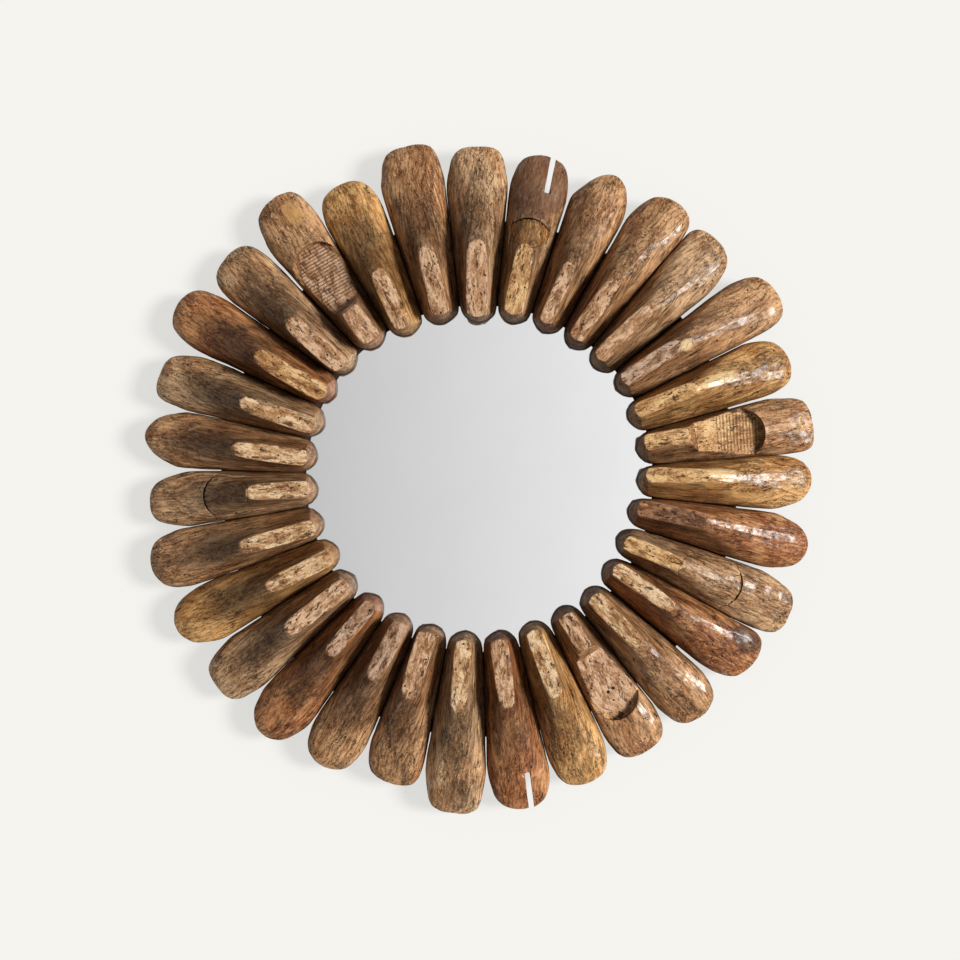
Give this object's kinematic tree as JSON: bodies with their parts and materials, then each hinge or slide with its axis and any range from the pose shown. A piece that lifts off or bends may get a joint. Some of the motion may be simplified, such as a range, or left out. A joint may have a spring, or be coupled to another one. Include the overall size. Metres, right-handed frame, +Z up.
{
  "type": "round wall mirror",
  "caption": "Round wall mirror framed by a radial ring of old wooden shoe lasts, heels over the glass and toes outward, on a round backing board.",
  "frame": {"origin": "centre of the backing board's back face, which rests on the wall", "axes": "+Z up, +X to the viewer's right, +Y into the wall; the mirror faces -Y"},
  "size_m": [0.9988, 0.101, 1.0004],
  "materials": {
    "last_wood_brown": "old varnish, worn",
    "last_wood_dark": "old varnish, worn",
    "last_wood_amber": "old varnish, worn",
    "last_wood_red": "old varnish, worn",
    "cone_block_wood": "old varnish, worn",
    "board_fibreboard": "raw fibreboard",
    "ring_fibreboard": "stained dark",
    "glue_pads": "mirror adhesive",
    "mirror_glass": "silvered",
    "hanger_steel": "zinc plated",
    "screw_steel": "zinc plated"
  },
  "bodies": {
    "root": {"last_01": "last_wood_brown", "last_02": "last_wood_red", "last_03": "last_wood_amber", "last_04": "last_wood_brown", "last_05": "last_wood_red", "last_06": "last_wood_dark", "last_07": "last_wood_amber", "last_08": "last_wood_dark", "last_09": "last_wood_red", "last_10": "last_wood_dark", "last_11": "last_wood_brown", "last_12": "last_wood_amber", "last_13": "last_wood_red", "last_14": "last_wood_dark", "last_15": "last_wood_amber", "last_16": "last_wood_brown", "last_17": "last_wood_red", "last_18": "last_wood_amber", "last_19": "last_wood_brown", "last_20": "last_wood_red", "last_21": "last_wood_amber", "last_22": "last_wood_dark", "last_23": "last_wood_brown", "last_24": "last_wood_red", "last_25": "last_wood_amber", "last_26": "last_wood_dark", "last_27": "last_wood_red", "last_28": "last_wood_dark", "last_29": "last_wood_brown", "last_30": "last_wood_red", "last_31": "last_wood_dark", "cone_block_02": "cone_block_wood", "cone_block_11": "cone_block_wood", "cone_block_24": "cone_block_wood", "back_board": "board_fibreboard", "spacer_ring": "ring_fibreboard", "glue_pads": "glue_pads", "mirror_glass": "mirror_glass", "hanger_plate_left": "hanger_steel", "hanger_plate_right": "hanger_steel", "plate_screws": "screw_steel"}
  },
  "joints": []
}
